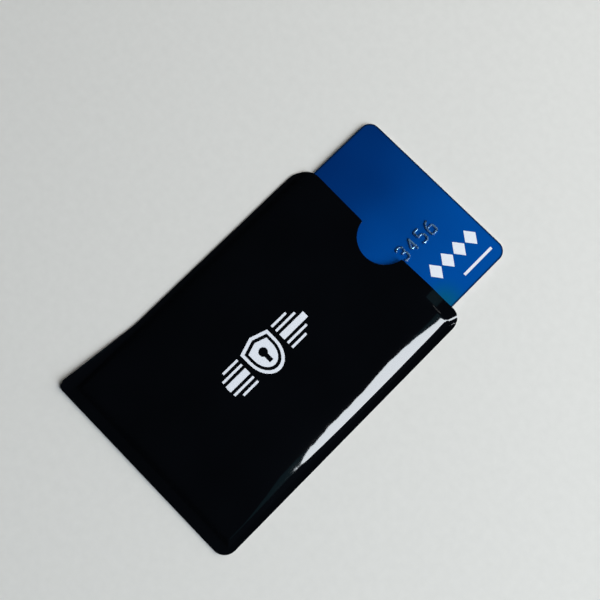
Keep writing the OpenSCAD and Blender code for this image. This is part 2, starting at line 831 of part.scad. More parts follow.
rear_gloss_film();
rear_printed_paper();
rear_shield_foil();
rear_liner();
left_side_seal();
right_side_seal();
closed_end_seal();
front_liner();
front_shield_foil();
front_printed_paper();
front_gloss_film();
printed_emblem();
card_rear_overlay();
magnetic_stripe();
signature_panel();
card_rear_print();
card_rear_core();
antenna_track();
antenna_bridge();
card_front_core();
card_front_print();
card_front_overlay();
card_printed_marks();
raised_numbers();
number_tipping();
chip_glue_frame();
chip_tape();
chip_contacts();
chip_die();
chip_resin_cap();
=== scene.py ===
# %% [markdown]
# # A shielding card sleeve with a bank card in it
# The object is a flat pocket of black foil laminate, about 62 by 91 mm, with a blue bank card half
# pulled out of its mouth. This file dresses the measured frame: thin pressed sheets made by one
# Geometry Nodes rule, raised numbers swept along their strokes, and materials named for the real ones.
# The first cell loads the frame.

# %% Load the frame
import math
import bmesh
import bpy
from mathutils import Matrix, Vector
from mathutils.geometry import delaunay_2d_cdt


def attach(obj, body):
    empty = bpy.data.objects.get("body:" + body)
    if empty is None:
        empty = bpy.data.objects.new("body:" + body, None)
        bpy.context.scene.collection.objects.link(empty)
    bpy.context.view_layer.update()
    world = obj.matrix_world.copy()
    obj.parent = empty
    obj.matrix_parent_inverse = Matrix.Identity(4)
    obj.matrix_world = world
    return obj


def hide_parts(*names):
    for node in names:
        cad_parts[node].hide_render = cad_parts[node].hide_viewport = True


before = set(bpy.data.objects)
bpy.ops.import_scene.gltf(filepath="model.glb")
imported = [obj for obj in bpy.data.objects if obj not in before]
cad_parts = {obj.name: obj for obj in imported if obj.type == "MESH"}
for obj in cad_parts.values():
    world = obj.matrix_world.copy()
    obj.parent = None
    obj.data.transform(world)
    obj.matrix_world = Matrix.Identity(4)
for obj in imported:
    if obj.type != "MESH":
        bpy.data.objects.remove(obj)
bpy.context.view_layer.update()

MM, PER_METRE = 0.001, 1000.0


# %% [markdown]
# ## The camera
# The picture was taken from almost straight above, turned so that the sleeve runs up to the right.
# A camera is fully given by its place, its three axes and its lens, so these are written as they are.

# %% Camera
camera_data = bpy.data.cameras.new("camera")
camera_data.lens = 48.0
camera_data.sensor_width = 36.0
camera_data.clip_start = 0.01
camera = bpy.data.objects.new("camera", camera_data)
bpy.context.scene.collection.objects.link(camera)
right = Vector((0.70506564, 0.7089351, 0.01713076))
up = Vector((-0.70223267, 0.69462827, 0.15607964))
back = Vector((0.09875083, -0.12207617, 0.98759591))
place = Vector((17.829, -9.564, 218.892)) * MM
camera.matrix_world = Matrix.Translation(place) @ Matrix((right, up, back)).transposed().to_4x4()
bpy.context.scene.camera = camera
print("camera", [round(v, 4) for v in place], "lens", camera_data.lens)


# %% [markdown]
# ## Helpers for node trees
# Every tree here is built by one function that adds a node, gives it its settings and links what goes
# into it. The small class lets a formula be written as it is on paper: a sum or a product of two
# numbers becomes a Math node. Colours are written as sRGB hex values, and one function turns them into
# the linear values that Blender's sockets take.

# %% Node helper
def node(tree, kind, *values, out=0, named=None, **settings):
    """Adds a node: values fill its inputs in order, named fills them by name, sockets are linked."""
    made = tree.nodes.new(kind)
    for key, value in settings.items():
        setattr(made, key, value)
    for where, value in list(enumerate(values)) + list((named or {}).items()):
        if isinstance(value, Number):
            value = value.socket
        if isinstance(value, bpy.types.NodeSocket):
            tree.links.new(value, made.inputs[where])
        else:
            made.inputs[where].default_value = value
    return made if out is None else made.outputs[out]


class Number:
    """A number in a tree: arithmetic on it adds Math nodes."""

    def __init__(self, tree, socket):
        self.tree = tree
        self.socket = socket

    def math(self, operation, *others):
        return Number(self.tree, node(self.tree, "ShaderNodeMath", self, *others, operation=operation))

    def __add__(self, other):
        return self.math("ADD", other)

    def __sub__(self, other):
        return self.math("SUBTRACT", other)

    def __rsub__(self, other):
        return self.math("MULTIPLY_ADD", -1.0, other)

    def __mul__(self, other):
        return self.math("MULTIPLY", other)

    def __truediv__(self, other):
        return self.math("DIVIDE", other)

    def __pow__(self, other):
        return self.math("POWER", other)

    __rmul__ = __mul__

    def clamp(self):
        return self.math("MAXIMUM", 0.0).math("MINIMUM", 1.0)

    def smooth(self):
        """0 to 1 with a soft start and end."""
        t = self.clamp()
        return t * t * (3.0 - 2.0 * t)


def linear(hex_colour):
    """An sRGB hex value as a linear colour."""
    parts = [int(hex_colour[i:i + 2], 16) / 255 for i in (1, 3, 5)]
    return [c / 12.92 if c <= 0.04045 else ((c + 0.055) / 1.055) ** 2.4 for c in parts] + [1.0]


# A colour Mix node and a Vector Math node have sockets that only their numbers tell apart.
FACTOR, TONE_A, TONE_B, MIXED, SCALE_BY = 0, 6, 7, 2, 3
print("half of full white is", [round(c, 3) for c in linear("#808080")[:3]])


# %% [markdown]
# ## Sizes
# All lengths are in millimetres. The pressed panel's rule needs the pocket's half width, the run of its
# side walls, and how high the panel swells over the card. Then come the outline's sizes, the layers'
# thicknesses, and the card's size and place.

# %% Sizes
PANEL = {
    "Half Length": 45.7, "Card End": -17.1, "Shoulder X": 28.15, "Mouth Flare": 0.25,
    "Wall Run": 1.35, "Shoulder Z": 1.22, "Seam Z": 0.27,
    "Crown": 1.6, "Closed Crown": 0.3, "End Roll": 5.0, "Mouth Drop": 0.2,
    "Sag": 0.24, "Sag Y": 6.9, "Sag Reach": 15.3, "Foot Y": -42.5,
    "Lip Start X": 30.0, "Lip Start Y": 8.3, "Lip Edge X": 33.2, "Lip Lift": 1.0, "Lip Power": 1.3,
    "Dent Y": 41.5, "Dent Reach": 0.9, "Dent Depth": 0.7, "Dent Step": 0.55, "Dent Lean": 0.33,
}
CROWN_POWER, SHOULDER_CUT = 4, 0.99
RIGHT_BLEND, DENT_X, DENT_BLEND = 20.0, 18.0, 8.0
HALF_W, RIGHT_W, HALF_L = 31.0, 31.35, PANEL["Half Length"]
CORNER_R, MOUTH_CORNER_R, TIP_R = 4.0, 6.0, 2.2
MOUTH_BOW, MOUTH_STEP = 0.5, 1.5
NOTCH_W, NOTCH_DEPTH, NOTCH_X, NOTCH_STEPS, NOTCH_GAP = 15.4, 7.2, 0.3, 220, 0.2
SPREAD, SPREAD_L, SPREAD_BLEND = 2.6, 25.38, (3, 1.5, 0.4)
FILM, PAPER, FOIL, LINER = 0.04, 0.14, 0.03, 0.03
WALL = FILM + PAPER + FOIL + LINER
CARD_L, CARD_W, CARD_Y, FACE_Z = 85.6, 53.98, 25.7, 1.10
print("sleeve wall", round(WALL, 3), "mm; card face at", FACE_Z, "mm")


# %% [markdown]
# ## Materials
# Each finish starts from what the real surface is. The first function makes the shader with its plain
# values, and hands back a place in millimetres, so that a pattern's size can be a real one. Many of the
# surfaces are alike in kind: one grain gives them their two tones, their relief and sometimes their
# uneven gloss. The second function dresses those.

# %% Finish functions
def finish(name, colour, roughness, metallic=0.0, coat=0.0, coat_roughness=0.03):
    """A Principled material; returns it with its tree, its shader and the place in millimetres."""
    made = bpy.data.materials.new(name)
    made.use_nodes = True
    shader = made.node_tree.nodes["Principled BSDF"]
    for socket, value in (
        ("Base Color", linear(colour)), ("Roughness", roughness), ("Metallic", metallic),
        ("Coat Weight", coat), ("Coat Roughness", coat_roughness),
    ):
        shader.inputs[socket].default_value = value
    place = node(made.node_tree, "ShaderNodeTexCoord", out="Object")
    mm = node(made.node_tree, "ShaderNodeVectorMath", place, named={SCALE_BY: PER_METRE}, operation="SCALE")
    return made, made.node_tree, shader, mm


def grained(name, colour, tones, roughness, grain,
            detail=2.0, relief=None, uneven=None, swirl=0.0, **gloss):
    """A finish with one grain, in mm: relief is its strength and depth, uneven its span of roughness."""
    made, tree, shader, mm = finish(name, colour, roughness, **gloss)
    noise = Number(tree, node(tree, "ShaderNodeTexNoise", named={
        "Vector": mm, "Scale": 1 / grain, "Detail": detail, "Distortion": swirl}))
    shade = node(tree, "ShaderNodeMix", out=MIXED, data_type="RGBA", named={
        FACTOR: noise, TONE_A: linear(tones[0]), TONE_B: linear(tones[1])})
    tree.links.new(shade, shader.inputs["Base Color"])
    if uneven:
        smoothest, roughest = uneven
        spread = noise * (roughest - smoothest) + smoothest
        tree.links.new(spread.socket, shader.inputs["Roughness"])
    if relief:
        normal = node(tree, "ShaderNodeBump", named={
            "Height": noise, "Strength": relief[0], "Distance": relief[1] * MM})
        tree.links.new(normal, shader.inputs["Normal"])
    return made


# %% [markdown]
# The sleeve's skin is clear polypropylene film, calendered smooth, over solid black print. It gives the
# eye almost no colour and a clear sharp gloss. Pressed film is never quite flat, so its mirror image
# wavers: buckles about 7 mm across, and a fine orange peel about 1 mm across.

# %% Glossy film
BUCKLE, BUCKLE_DEPTH = 7.0, 0.055
PEEL, PEEL_DEPTH = 1.1, 0.0012
gloss_film, tree, shader, mm = finish(
    "glossy_polypropylene_over_black", "#040508", 0.05, coat=0.6, coat_roughness=0.02)
cloud = node(tree, "ShaderNodeTexNoise", named={"Vector": mm, "Scale": 1 / 18})
shade = node(tree, "ShaderNodeMix", out=MIXED, data_type="RGBA", named={
    FACTOR: cloud, TONE_A: linear("#030406"), TONE_B: linear("#06080c")})
tree.links.new(shade, shader.inputs["Base Color"])
buckle, peel = (
    Number(tree, node(tree, "ShaderNodeTexNoise", named={"Vector": mm, "Scale": 1 / size, "Detail": detail}))
    for size, detail in ((BUCKLE, 1.0), (PEEL, 2.0)))
normal = node(tree, "ShaderNodeBump", named={
    "Height": buckle * BUCKLE_DEPTH + peel * PEEL_DEPTH, "Strength": 1.0, "Distance": MM})
tree.links.new(normal, shader.inputs["Normal"])
tree.links.new(normal, shader.inputs["Coat Normal"])
print(gloss_film.name)


# %% [markdown]
# Under the film lie black printed paper, aluminium foil about 0.03 mm thick, and a milky film that melts
# to seal the edges. Paper shows fibres of about 0.3 mm; foil shows rolling lines and small dents; the
# seal's glue is a little yellow. They show only at the cut edges and inside the mouth.

# %% Inner layers
black_paper = grained(
    "black_ink_on_paper", "#101114", ("#0b0c0f", "#18191c"), 0.6, 0.3, detail=3.0, relief=(0.4, 0.01))
milky_liner = grained(
    "milky_heat_seal_film", "#bfbeb7", ("#b2b1a9", "#cac9c2"), 0.4, 3.0, relief=(0.3, 0.05))
seal_glue = grained(
    "melted_seal_glue", "#7d7a70", ("#6b675d", "#8b887d"), 0.45, 1.5, relief=(0.4, 0.02), swirl=0.6)

ROLL_LINES, FOIL_DENT = (4.0, 0.15, 1.0), 1.5
shield_foil, tree, shader, mm = finish("rolled_aluminium_foil", "#c9ccd0", 0.3, metallic=1.0)
along_roll = node(tree, "ShaderNodeMapping", mm, named={"Scale": ROLL_LINES})
roll = Number(tree, node(tree, "ShaderNodeTexNoise", named={"Vector": along_roll, "Scale": 1.0}))
dent = Number(tree, node(tree, "ShaderNodeTexNoise", named={
    "Vector": mm, "Scale": 1 / FOIL_DENT, "Detail": 3.0}))
tree.links.new((roll * 0.25 + 0.18).socket, shader.inputs["Roughness"])
normal = node(tree, "ShaderNodeBump", named={
    "Height": dent + roll * 0.1, "Strength": 0.5, "Distance": 0.03 * MM})
tree.links.new(normal, shader.inputs["Normal"])
print("inner layers", black_paper.name, shield_foil.name, milky_liner.name, seal_glue.name)


# %% [markdown]
# The white marks are screen printed: ink pressed through a mesh leaves a thin, slightly grainy film with
# a soft gloss. The grain here is about 0.25 mm, as coarse as the mesh's own prints. The card's core is
# white PVC with fine specks.

# %% White ink and white core
white_ink = grained(
    "white_screen_ink", "#e4e9ee", ("#dae2ee", "#eaf1fa"), 0.45, 0.25, relief=(0.3, 0.01),
    coat=0.3, coat_roughness=0.1)
card_core = grained("white_pvc_core", "#e6e6e1", ("#dededa", "#eeeeea"), 0.45, 0.4, relief=(0.2, 0.02))
print(white_ink.name, card_core.name)


# %% [markdown]
# A bank card is PVC sheets fused under heat: two white cores, printed sheets, and a clear overlay on
# each face. The overlay can't be told from the print under it, so both wear the blue print, and the
# overlay adds its smooth clear coat. The blue runs from deep at one long edge to brighter at the other,
# with a teal glow near that edge. A rim 0.7 mm wide is painted darker outwards: painted shade where the
# punch rolled the edge down, so that it mirrors less light.

# %% Card print
FACES = (
    ("blue_offset_print", 0.45, 0.0, "#002a68", "#004ca0"),
    ("blue_print_under_clear_overlay", 0.1, 0.6, "#002a68", "#004ca0"),
    ("deep_blue_back_under_clear_overlay", 0.3, 1.0, "#0a2a5a", "#0e3268"),
)
CLOUD, CLOUD_SHARE, CLOUD_RELIEF, TONE_SHIFT = 25.0, 0.5, 2.0, -0.18
DOT, DOT_SHARE, DOT_RELIEF = 0.2, 0.06, 0.02
TEAL_SPOT, TEAL_R, TEAL_SHARE = (24.8, 45.2, 1.1), 8.0, 0.8
CARD_R, EDGE_SHADE_W, EDGE_SHADE_STEEPNESS, EDGE_SHADE_SHARE = 3.18, 0.7, 1.4, 0.8
prints = []
for name, roughness, coat, deep, bright in FACES:
    made, tree, shader, mm = finish(name, deep, roughness, coat=coat, coat_roughness=0.06)
    across, along, _ = (
        Number(tree, part) for part in node(tree, "ShaderNodeSeparateXYZ", mm, out=None).outputs)
    cloud, dots = (
        Number(tree, node(tree, "ShaderNodeTexNoise", named={"Vector": mm, "Scale": 1 / size, "Detail": 1.0}))
        for size in (CLOUD, DOT))
    amount = ((across + CARD_W / 2) / CARD_W + cloud * CLOUD_SHARE + TONE_SHIFT).smooth()
    shade = node(tree, "ShaderNodeMix", out=MIXED, data_type="RGBA", named={
        FACTOR: amount + (dots - 0.5) * DOT_SHARE, TONE_A: linear(deep), TONE_B: linear(bright)})
    spot = Number(tree, node(tree, "ShaderNodeVectorMath", mm, TEAL_SPOT, out="Value", operation="DISTANCE"))
    shade = node(tree, "ShaderNodeMix", out=MIXED, data_type="RGBA", named={
        FACTOR: (1.0 - spot / TEAL_R).smooth() * TEAL_SHARE, TONE_A: shade, TONE_B: linear("#075a74")})
    # Painted shade: the print darkens towards #04182e in a rim 0.7 mm wide along the card's edge, standing in
    # for the rolled edge that mirrors less light.
    past_x = (across.math("ABSOLUTE") - (CARD_W / 2 - CARD_R)).math("MAXIMUM", 0.0)
    past_y = ((along - CARD_Y).math("ABSOLUTE") - (CARD_L / 2 - CARD_R)).math("MAXIMUM", 0.0)
    rim = ((past_x * past_x + past_y * past_y).math("SQRT") - CARD_R + EDGE_SHADE_W) / EDGE_SHADE_W
    shade = node(tree, "ShaderNodeMix", out=MIXED, data_type="RGBA", named={
        FACTOR: (rim * EDGE_SHADE_STEEPNESS).smooth() * EDGE_SHADE_SHARE, TONE_A: shade, TONE_B: linear("#04182e")})
    tree.links.new(shade, shader.inputs["Base Color"])
    normal = node(tree, "ShaderNodeBump", named={
        "Height": cloud * CLOUD_RELIEF + dots * DOT_RELIEF, "Strength": 0.5, "Distance": 0.03 * MM})
    tree.links.new(normal, shader.inputs["Normal"])
    prints.append(made)
card_print, card_face, card_back = prints
print([made.name for made in prints])


# %% [markdown]
# Tipping is a silver foil pressed hot on the tops of the raised numbers. It wears off first where the
# card rubs, so here it is mixed: worn spots about 0.8 mm across let the blue plastic show.

# %% Worn tipping
RUB, WEAR_CONTRAST, LEFT_BIAS = 0.8, 5.0, 0.6
WORN_ROUGHNESS, FOIL_SMOOTHER = 0.33, 0.08
worn_tipping, tree, shader, mm = finish("worn_silver_tipping", "#8cc0ea", 0.18, metallic=1.0)
rub = Number(tree, node(tree, "ShaderNodeTexNoise", named={"Vector": mm, "Scale": 1 / RUB, "Detail": 3.0}))
left = ((rub - 0.5) * WEAR_CONTRAST + LEFT_BIAS).clamp()
shade = node(tree, "ShaderNodeMix", out=MIXED, data_type="RGBA", named={
    FACTOR: left, TONE_A: linear("#0a3d74"), TONE_B: linear("#8cc0ea")})
tree.links.new(shade, shader.inputs["Base Color"])
tree.links.new(left.socket, shader.inputs["Metallic"])
tree.links.new((WORN_ROUGHNESS - left * FOIL_SMOOTHER).socket, shader.inputs["Roughness"])
normal = node(tree, "ShaderNodeBump", named={"Height": rub, "Strength": 0.3, "Distance": 0.02 * MM})
tree.links.new(normal, shader.inputs["Normal"])
print(worn_tipping.name)


# %% [markdown]
# The chip module is a small glass epoxy tape with copper plated in nickel and gold. Its gold is thin and
# pale, and finely matt. Under it are tape, glue, a silicon chip and a dark resin drop. The antenna is
# etched copper, mottled by the acid.

# %% Chip and antenna
contact_gold = grained(
    "pale_gold_plate", "#dcc080", ("#d2b472", "#e6cd92"), 0.3, 0.12, relief=(0.4, 0.01),
    uneven=(0.24, 0.39), metallic=1.0)
antenna_copper = grained(
    "etched_copper", "#b8693f", ("#9c5532", "#c87a4c"), 0.35, 0.3, detail=3.0,
    uneven=(0.22, 0.47), metallic=1.0)
module_glue = grained("amber_module_glue", "#b89a4e", ("#b89a4e", "#c8ab60"), 0.35, 0.8, relief=(0.3, 0.02))
sawn_silicon = grained("sawn_silicon", "#33373e", ("#33373e", "#40454d"), 0.18, 0.2, relief=(0.3, 0.02))
epoxy_resin = grained("black_epoxy_resin", "#131214", ("#131214", "#1f1d20"), 0.3, 0.6, relief=(0.3, 0.02))

# A Wave texture repeats every 0.31 / scale.
WAVE_SCALE, THREAD = 0.31, 0.5
glass_tape, tree, shader, mm = finish("glass_epoxy_tape", "#4c5a2c", 0.5, coat=0.3)
weave_x, weave_y = (Number(tree, node(tree, "ShaderNodeTexWave", bands_direction=way, named={
    "Vector": mm, "Scale": WAVE_SCALE / THREAD})) for way in ("X", "Y"))
weave = weave_x.math("MAXIMUM", weave_y)
shade = node(tree, "ShaderNodeMix", out=MIXED, data_type="RGBA", named={
    FACTOR: weave, TONE_A: linear("#3c4a22"), TONE_B: linear("#5d6c3a")})
tree.links.new(shade, shader.inputs["Base Color"])
normal = node(tree, "ShaderNodeBump", named={"Height": weave, "Strength": 0.5, "Distance": 0.01 * MM})
tree.links.new(normal, shader.inputs["Normal"])
print(contact_gold.name, glass_tape.name, antenna_copper.name)
print(module_glue.name, sawn_silicon.name, epoxy_resin.name)


# %% [markdown]
# The back carries a magnetic stripe, iron oxide paint laid as tape, brown black with fine drawn lines,
# and a signature panel, chalky paint with a pale pattern of wavy lines 1.2 mm apart against erasing.

# %% Stripe and signature panel
DRAWN_LINES = (6.0, 0.05, 1.0)
stripe_oxide, tree, shader, mm = finish("oxide_stripe", "#1c1513", 0.35, coat=0.5, coat_roughness=0.15)
drawn = node(tree, "ShaderNodeMapping", mm, named={"Scale": DRAWN_LINES})
lines = Number(tree, node(tree, "ShaderNodeTexNoise", named={"Vector": drawn, "Scale": 1.0, "Detail": 2.0}))
shade = node(tree, "ShaderNodeMix", out=MIXED, data_type="RGBA", named={
    FACTOR: lines, TONE_A: linear("#15100f"), TONE_B: linear("#2a201d")})
tree.links.new(shade, shader.inputs["Base Color"])
tree.links.new((lines * 0.2 + 0.28).socket, shader.inputs["Roughness"])

LINE_GAP, LINE_LEVEL, LINE_EDGE = 1.2, 0.8, 6.0
panel_paint, tree, shader, mm = finish("chalky_panel_paint", "#dfdfda", 0.75)
waves = Number(tree, node(tree, "ShaderNodeTexWave", bands_direction="X", named={
    "Vector": mm, "Scale": WAVE_SCALE / LINE_GAP, "Distortion": 1.5, "Detail": 0.0, "Detail Scale": 0.3}))
ink_line = ((waves - LINE_LEVEL) * LINE_EDGE).clamp()
shade = node(tree, "ShaderNodeMix", out=MIXED, data_type="RGBA", named={
    FACTOR: ink_line, TONE_A: linear("#e2e2dd"), TONE_B: linear("#b9c4cf")})
tree.links.new(shade, shader.inputs["Base Color"])
chalk = node(tree, "ShaderNodeTexNoise", named={"Vector": mm, "Scale": 1 / 0.3})
normal = node(tree, "ShaderNodeBump", named={"Height": chalk, "Strength": 0.4, "Distance": 0.02 * MM})
tree.links.new(normal, shader.inputs["Normal"])
print(stripe_oxide.name, panel_paint.name)


# %% [markdown]
# ## Finishes on the measured nodes
# The card's sheets, the chip and the seals are right as measured, so they keep their meshes and only
# get their finish.

# %% Dress the measured nodes
FINISHES = {
    "printed_emblem": white_ink, "card_printed_marks": white_ink,
    "left_side_seal": seal_glue, "right_side_seal": seal_glue, "closed_end_seal": seal_glue,
    "card_rear_overlay": card_back, "card_rear_print": card_back,
    "magnetic_stripe": stripe_oxide, "signature_panel": panel_paint,
    "card_rear_core": card_core, "card_front_core": card_core,
    "card_front_print": card_print, "card_front_overlay": card_face,
    "antenna_track": antenna_copper, "antenna_bridge": antenna_copper,
    "chip_contacts": contact_gold, "chip_tape": glass_tape, "chip_glue_frame": module_glue,
    "chip_die": sawn_silicon, "chip_resin_cap": epoxy_resin,
}
for name, made in FINISHES.items():
    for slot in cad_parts[name].material_slots:
        slot.material = made
print(len(FINISHES), "nodes dressed")


# %% [markdown]
# ## The outlines of the two panels
# A panel is cut from flat sheet before it is pressed, so it starts as a flat outline. The front one has
# a mouth edge that bows in a little, with the thumb notch punched out of it; the closed end's left
# corner has spread a little past the side line.

# %% Outlines
def arc(cx, cy, r, start, end, steps=20):
    """Points of a circle's arc, angles in degrees."""
    angles = [math.radians(start + (end - start) * i / steps) for i in range(steps + 1)]
    return [(cx + r * math.cos(a), cy + r * math.sin(a)) for a in angles]


def mouth_y(x, bow):
    """Height of the mouth edge at x; the bow runs from corner to corner."""
    corner_x = RIGHT_W - CORNER_R if x > 0 else HALF_W - MOUTH_CORNER_R
    return HALF_L - bow * (1 - (x / corner_x) ** 2)


def panel_outline(bow, notched):
    """Counter-clockwise outline of a panel."""
    inner, left = RIGHT_W - CORNER_R, HALF_W - MOUTH_CORNER_R
    lean = math.atan(SPREAD / SPREAD_L)
    spread_x = -HALF_W - SPREAD + TIP_R * (1 + math.sin(lean)) / math.cos(lean)
    steps = range(1, int((inner + left) / MOUTH_STEP))
    mouth = [(x, mouth_y(x, bow)) for x in (inner - MOUTH_STEP * i for i in steps)]
    if notched:
        r = ((NOTCH_W / 2) ** 2 + NOTCH_DEPTH ** 2) / (2 * NOTCH_DEPTH)
        cut = [p for p in arc(NOTCH_X, HALF_L - NOTCH_DEPTH + r, r, 20, -200, NOTCH_STEPS)
               if p[1] < mouth_y(p[0], bow)]
        mouth = ([p for p in mouth if p[0] > cut[0][0] + NOTCH_GAP] + cut
                 + [p for p in mouth if p[0] < cut[-1][0] - NOTCH_GAP])
    return (
        arc(inner, -HALF_L + CORNER_R, CORNER_R, -90, 0) + arc(inner, HALF_L - CORNER_R, CORNER_R, 0, 90)
        + mouth + arc(-left, HALF_L - MOUTH_CORNER_R, MOUTH_CORNER_R, 90, 180)
        + [(-HALF_W, -HALF_L + SPREAD_L + gap) for gap in SPREAD_BLEND]
        + arc(spread_x, -HALF_L + TIP_R, TIP_R, 180 - math.degrees(lean), 270)
    )


front_outline = panel_outline(MOUTH_BOW, True)
rear_outline = panel_outline(0.0, False)
print("outline points", len(front_outline), len(rear_outline))


# %% [markdown]
# ## Flat slabs
# The sheet's rule moves points, so the flat sheet must have points where the pressed one bends:
# close together at the walls and shoulders, further apart in the middle. A triangulation that keeps
# the outline gives such a sheet. Two copies one unit apart, joined round the edge, make a closed slab.

# %% Slab builder
def spaced(*stops):
    """Positions between (start, step) pairs, up to the last one's start."""
    out = []
    for (start, step), (end, _) in zip(stops, stops[1:]):
        count = max(1, round((end - start) / step))
        out += [start + (end - start) * i / count for i in range(count)]
    return out + [stops[-1][0]]


SHOULDER_X, FOOT_Y, RUN = PANEL["Shoulder X"], PANEL["Foot Y"], PANEL["Wall Run"]
half_x = spaced(
    (0, 1.0), (19, 0.6), (23, 0.3), (26, 0.15), (SHOULDER_X, 0.15), (SHOULDER_X + RUN, 0.2),
    (30.4, 0.35), (34, 0))
GRID_X = [-x for x in half_x[:0:-1]] + half_x
GRID_Y = spaced(
    (-46, 0.5), (-43, 0.15), (FOOT_Y, 0.15), (FOOT_Y + RUN, 0.3), (-40, 0.5), (-36, 1.2),
    (41, 0.2), (46, 0))
CLEAR, SAME_POINT = 0.12, 1e-5


def inside(p, loop):
    """True if p lies inside the loop."""
    hit = False
    for (ax, ay), (bx, by) in zip(loop, loop[1:] + loop[:1]):
        if (ay > p[1]) != (by > p[1]) and p[0] < (bx - ax) * (p[1] - ay) / (by - ay) + ax:
            hit = not hit
    return hit


def near(p, loop):
    """True if p lies closer to one of the loop's sides than CLEAR."""
    for (ax, ay), (bx, by) in zip(loop, loop[1:] + loop[:1]):
        dx, dy = bx - ax, by - ay
        t = max(0.0, min(1.0, ((p[0] - ax) * dx + (p[1] - ay) * dy) / (dx * dx + dy * dy)))
        if (ax + t * dx - p[0]) ** 2 + (ay + t * dy - p[1]) ** 2 < CLEAR * CLEAR:
            return True
    return False


def slab(name, loop):
    """A closed unit slab over the loop; the grid's columns lean out with the mouth's flare."""
    grid = []
    for y in GRID_Y:
        opening = min(1.0, max(0.0, (y - PANEL["Card End"]) / (HALF_L - PANEL["Card End"])))
        for x in GRID_X:
            flare = PANEL["Mouth Flare"] * opening * min(1.0, abs(x) / SHOULDER_X)
            spot = (x + math.copysign(flare, x), y)
            if inside(spot, loop) and not near(spot, loop):
                grid.append(spot)
    sides = [(i, (i + 1) % len(loop)) for i in range(len(loop))]
    flat, _, faces, *_ = delaunay_2d_cdt([Vector(p) for p in loop + grid], sides, [], 1, SAME_POINT)
    used = {side for face in faces for side in zip(face, face[1:] + face[:1])}
    rim = [(a, b) for a, b in used if (b, a) not in used]
    n = len(flat)
    vertices = [(p.x * MM, p.y * MM, level) for level in (0.0, 1.0) for p in flat]
    solid = [tuple(f[::-1]) for f in faces] + [tuple(i + n for i in f) for f in faces]
    solid += [(a, b, b + n, a + n) for a, b in rim]
    mesh = bpy.data.meshes.new(name)
    mesh.from_pydata(vertices, [], solid)
    keep = bpy.data.objects.new(name, mesh)
    bpy.context.scene.collection.objects.link(keep)
    print(name, n, "points a side")
    return keep


front_slab = slab("front_slab", front_outline)
rear_slab = slab("rear_slab", rear_outline)


# %% [markdown]
# ## The rule of the pressed panel
# This tree is the height of a panel's inner face over the flat sheet. A pillow profile swells over the
# card and falls to a shoulder, a wall runs down to the flat seam, and the closed end's left corner
# curls up a little. Beside its right shoulder the swell sags, and at the mouth's right corner the film
# is dented, so its shoulder runs out to the edge. With a crown and shoulder of nothing the rule gives
# the flat rear panel with the same curl.

# %% Height rule
rule = bpy.data.node_groups.new("pressed_height", "GeometryNodeTree")
for key in ("X", "Y", *PANEL):
    made = rule.interface.new_socket(key, in_out="INPUT", socket_type="NodeSocketFloat")
    made.default_value = PANEL.get(key, 0.0)
rule.interface.new_socket("Height", in_out="OUTPUT", socket_type="NodeSocketFloat")
size = {s.name: Number(rule, s) for s in node(rule, "NodeGroupInput", out=None).outputs if s.name}


def pillow(u):
    """Profile from 1 in the middle to 0 at the shoulder, where it falls steeply."""
    rim = math.sqrt(1 - SHOULDER_CUT ** CROWN_POWER)
    swell = (1.0 - (u * SHOULDER_CUT) ** CROWN_POWER).math("SQRT")
    return (swell - rim) / (1 - rim)


x, y = size["X"], size["Y"]
across = x.math("ABSOLUTE")
opening = ((y - size["Card End"]) / (size["Half Length"] - size["Card End"])).clamp()
past = (y - size["Dent Y"]) / size["Dent Reach"]
dent = past.smooth() * ((x - DENT_X) / DENT_BLEND).smooth()
beyond = (past - 1.0).math("MAXIMUM", 0.0) * size["Dent Reach"]
strayed = dent * (size["Dent Step"] + size["Dent Lean"] * beyond)
shoulder_x = size["Shoulder X"] + size["Mouth Flare"] * opening + strayed
step_h = size["Shoulder Z"] - size["Seam Z"]
shoulder_y = size["Foot Y"] + size["Wall Run"]
edge = pillow((1.0 - (y - shoulder_y) / size["End Roll"]).clamp())
rise = ((y - shoulder_y) / (size["Card End"] - shoulder_y)).smooth()
peak = (size["Card End"] + size["Half Length"]) * 0.5
drop = ((y - peak) / (size["Half Length"] - peak)).smooth()
low = size["Closed Crown"] * edge
right_side = (x / RIGHT_BLEND).smooth()
from_sag = (y - size["Sag Y"]) / size["Sag Reach"]
sag = size["Sag"] * (0.0 - from_sag * from_sag).math("EXPONENT") * right_side
mouth_drop = size["Mouth Drop"] * drop * (1.0 - right_side)
crown = size["Crown"] * (low + rise * (1.0 - low)) * (1.0 - mouth_drop - sag)
crown = crown * (1.0 - size["Dent Depth"] * dent)
over = size["Shoulder Z"] + crown * pillow((across / shoulder_x).clamp())
side_wall = over - (across - shoulder_x).math("MAXIMUM", 0.0) * step_h / size["Wall Run"]
end_wall = over - (shoulder_y - y).math("MAXIMUM", 0.0) * step_h / size["Wall Run"]
panel = side_wall.math("MINIMUM", end_wall).math("MAXIMUM", size["Seam Z"])
out = (0.0 - x - size["Lip Start X"]).math("MAXIMUM", 0.0) / (size["Lip Edge X"] - size["Lip Start X"])
along = ((size["Lip Start Y"] - y) / (size["Lip Start Y"] + size["Half Length"])).smooth()
height = panel + size["Lip Lift"] * out ** size["Lip Power"] * along
node(rule, "NodeGroupOutput", out=None, named={"Height": height})
print("height rule has", len(rule.nodes), "nodes")


# %% [markdown]
# ## Pressing a sheet
# The next tree takes a flat slab and presses it. It reads the rule just before and just after a point
# to get the two slopes there, and moves the point out to where both faces meet, so folds stay sharp.
# Liner, foil, paper and film of one panel then lie on each other like real laminate, each at its own
# distance.

